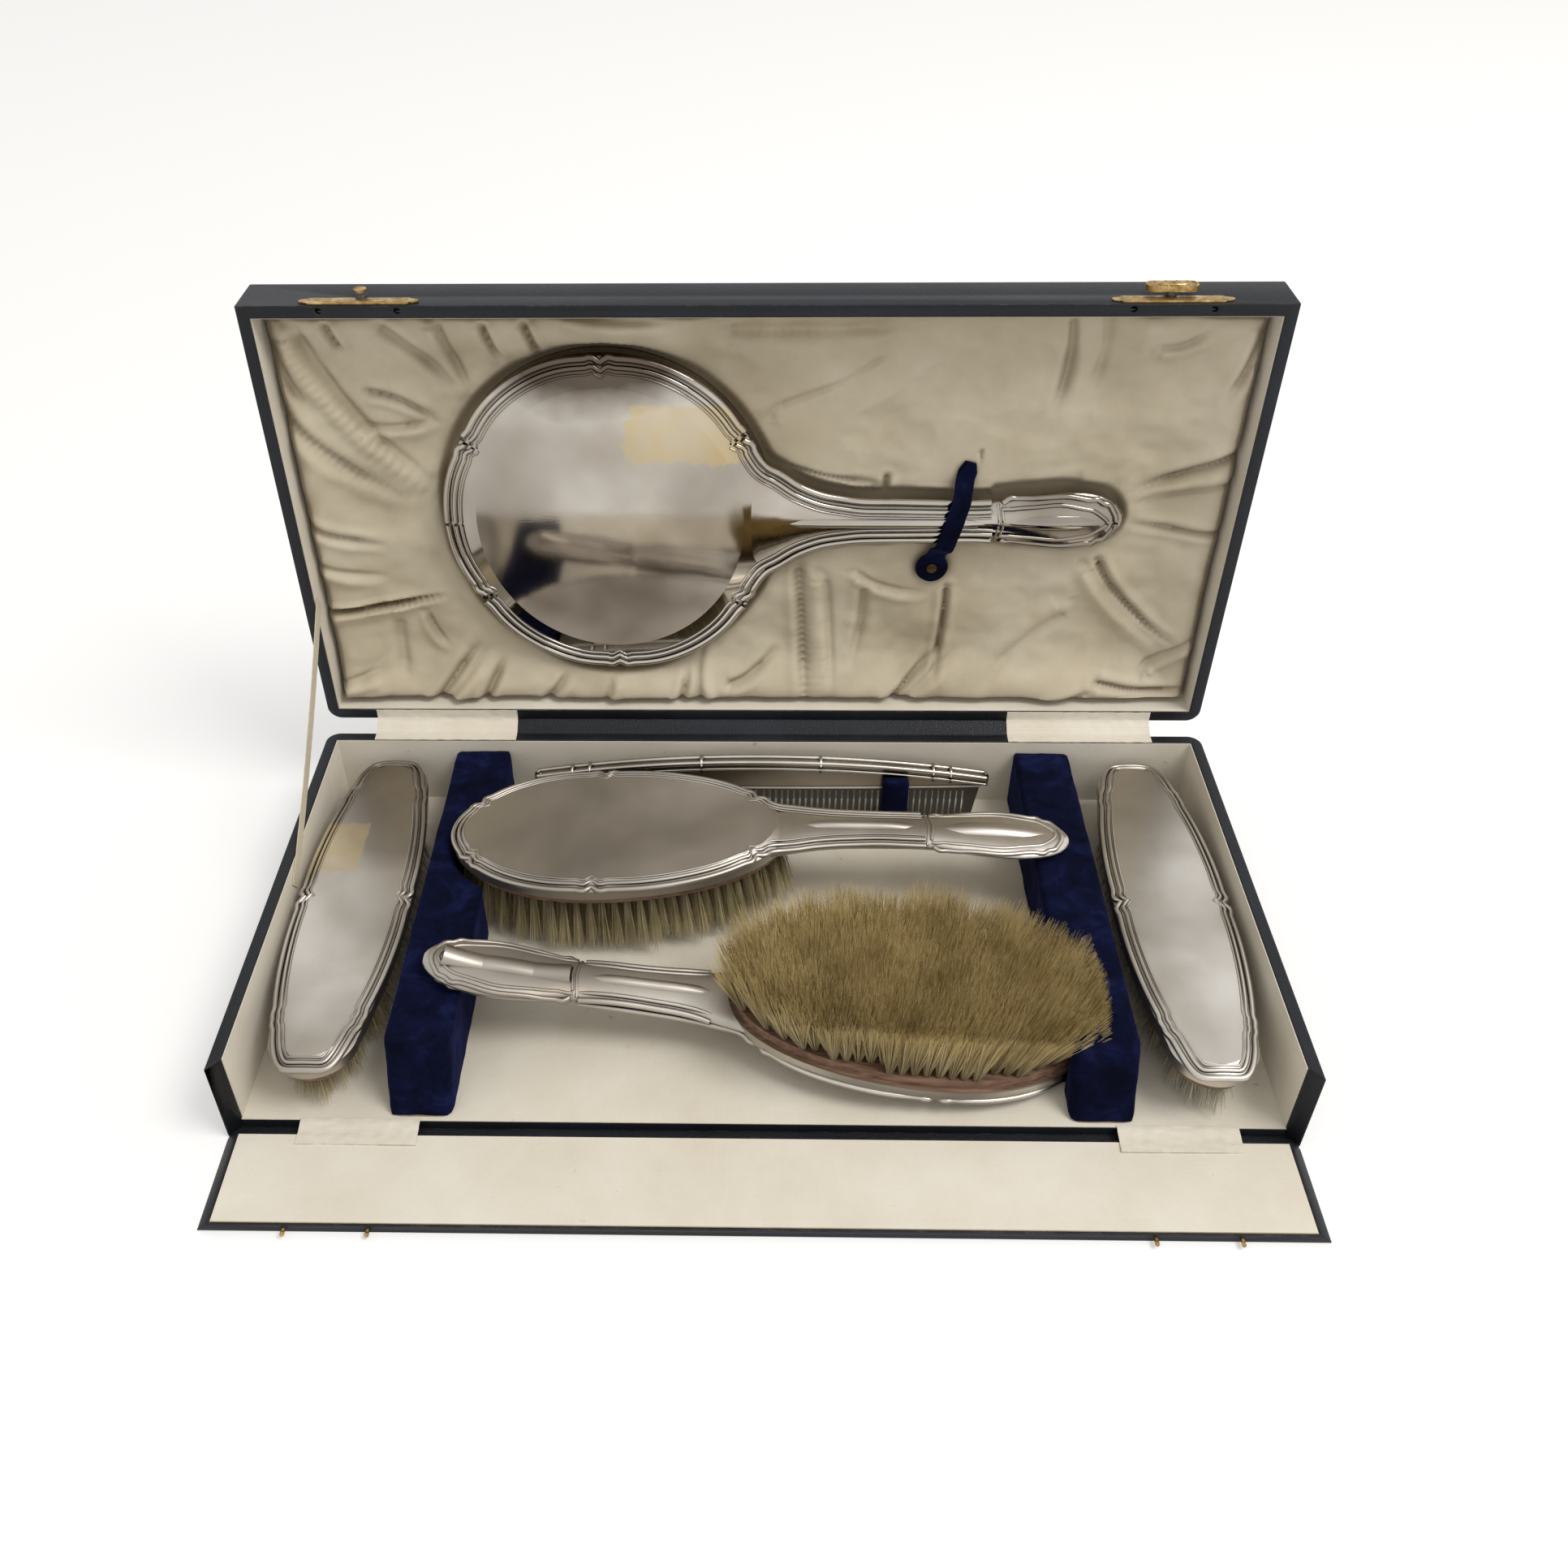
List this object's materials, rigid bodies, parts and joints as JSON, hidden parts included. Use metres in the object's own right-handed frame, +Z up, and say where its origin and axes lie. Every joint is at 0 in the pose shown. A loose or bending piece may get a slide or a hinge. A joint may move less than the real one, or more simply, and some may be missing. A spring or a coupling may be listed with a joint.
{
  "type": "fitted dressing case",
  "caption": "Open dressing case with hinged lid and drop-front flap, holding a silver-backed hand mirror, hair brushes, clothes brushes and comb.",
  "frame": {"origin": "centre of the tray's underside", "axes": "+X to the right along the case, +Y to the hinged back, +Z up"},
  "size_m": [0.4, 0.2709, 0.2441],
  "materials": {
    "leathercloth": "satin",
    "case_board": "matte",
    "lining_cloth": "matte",
    "silk": "satin",
    "ribbon": "satin",
    "velvet": "matte",
    "brass": "satin",
    "spring_steel": "satin",
    "press_stud": "satin",
    "silver": "polished",
    "mirror_glass": "polished",
    "packing": "matte",
    "brush_wood": "satin",
    "bristle": "matte",
    "comb_plastic": "gloss"
  },
  "bodies": {
    "tray": {"base_cover": "leathercloth", "floor_board": "case_board", "back_board": "case_board", "left_side_board": "case_board", "right_side_board": "case_board", "tray_cover": "leathercloth", "floor_lining": "lining_cloth", "wall_lining": "lining_cloth", "left_rack_block": "case_board", "right_rack_block": "case_board", "left_rack_velvet": "velvet", "right_rack_velvet": "velvet", "comb_posts": "velvet", "hinge_spine": "leathercloth", "lid_hinge_tabs": "lining_cloth", "flap_hinge_strip": "leathercloth", "flap_hinge_tabs": "lining_cloth", "ribbon_stay": "ribbon"},
    "lid": {"lid_cover": "leathercloth", "lid_panel": "case_board", "lid_front_rail": "case_board", "lid_back_rail": "case_board", "lid_left_rail": "case_board", "lid_right_rail": "case_board", "lid_wall_lining": "lining_cloth", "silk_pad": "silk", "snap_socket": "brass", "left_catch_plate": "brass", "right_catch_plate": "brass", "left_catch_spring": "spring_steel", "right_catch_spring": "spring_steel"},
    "flap": {"flap_cover": "leathercloth", "flap_board": "case_board", "flap_lining": "lining_cloth", "keeper_pins": "brass"},
    "left_catch": {"left_catch_button": "brass", "left_catch_blade": "spring_steel"},
    "right_catch": {"right_catch_button": "brass", "right_catch_blade": "spring_steel"},
    "hand_mirror": {"mirror_silver_back": "silver", "mirror_core": "packing", "mirror_glass": "mirror_glass", "mirror_bezel": "silver"},
    "strap": {"mirror_strap": "velvet", "strap_snap": "press_stud"},
    "rear_hair_brush": {"rear_hair_brush_silver_back": "silver", "rear_hair_brush_stock": "brush_wood", "rear_hair_brush_bristles": "bristle"},
    "front_hair_brush": {"front_hair_brush_silver_back": "silver", "front_hair_brush_stock": "brush_wood", "front_hair_brush_bristles": "bristle"},
    "left_clothes_brush": {"left_clothes_brush_silver_back": "silver", "left_clothes_brush_stock": "brush_wood", "left_clothes_brush_bristles": "bristle"},
    "right_clothes_brush": {"right_clothes_brush_silver_back": "silver", "right_clothes_brush_stock": "brush_wood", "right_clothes_brush_bristles": "bristle"},
    "comb": {"comb_mount": "silver", "comb_teeth": "comb_plastic"}
  },
  "joints": [
    {"name": "lid_hinge", "type": "hinge", "parent": "tray", "child": "lid", "pos_m": [0, 0.103, 0.0387], "axis": [-1, 0, 0], "range_deg": [-90, 0], "deforming": ["hinge_spine", "lid_hinge_tabs", "ribbon_stay"]},
    {"name": "flap_hinge", "type": "hinge", "parent": "tray", "child": "flap", "pos_m": [0, -0.098, 0], "axis": [1, 0, 0], "range_deg": [-90, 0], "deforming": ["flap_hinge_strip", "flap_hinge_tabs"]},
    {"name": "left_catch_press", "type": "slide", "parent": "lid", "child": "left_catch", "axis": [0, 0, -1], "range_m": [0, 0.0006], "stiffness_N_per_m": 80, "deforming": ["left_catch_spring"]},
    {"name": "right_catch_press", "type": "slide", "parent": "lid", "child": "right_catch", "axis": [0, 0, -1], "range_m": [0, 0.0006], "stiffness_N_per_m": 80, "deforming": ["right_catch_spring"]},
    {"name": "mirror_lift", "type": "slide", "parent": "lid", "child": "hand_mirror", "axis": [0, -1, 0], "range_m": [0, 0.03]},
    {"name": "strap_open", "type": "hinge", "parent": "lid", "child": "strap", "pos_m": [0.08625, 0.1194, 0.16694], "axis": [-0.9707, 0, 0.2402], "range_deg": [0, 110], "deforming": ["mirror_strap"]},
    {"name": "rear_hair_brush_lift", "type": "slide", "parent": "tray", "child": "rear_hair_brush", "axis": [0, 0, 1], "range_m": [0, 0.05]},
    {"name": "front_hair_brush_lift", "type": "slide", "parent": "tray", "child": "front_hair_brush", "axis": [0, 0, 1], "range_m": [0, 0.05]},
    {"name": "left_clothes_brush_lift", "type": "slide", "parent": "tray", "child": "left_clothes_brush", "axis": [0, 0, 1], "range_m": [0, 0.045]},
    {"name": "right_clothes_brush_lift", "type": "slide", "parent": "tray", "child": "right_clothes_brush", "axis": [0, 0, 1], "range_m": [0, 0.045]},
    {"name": "comb_lift", "type": "slide", "parent": "tray", "child": "comb", "axis": [0, 0, 1], "range_m": [0, 0.02]}
  ],
  "couplings": [
    {"joint": "strap_open", "follows": "mirror_lift", "rad_per_m": 63}
  ]
}
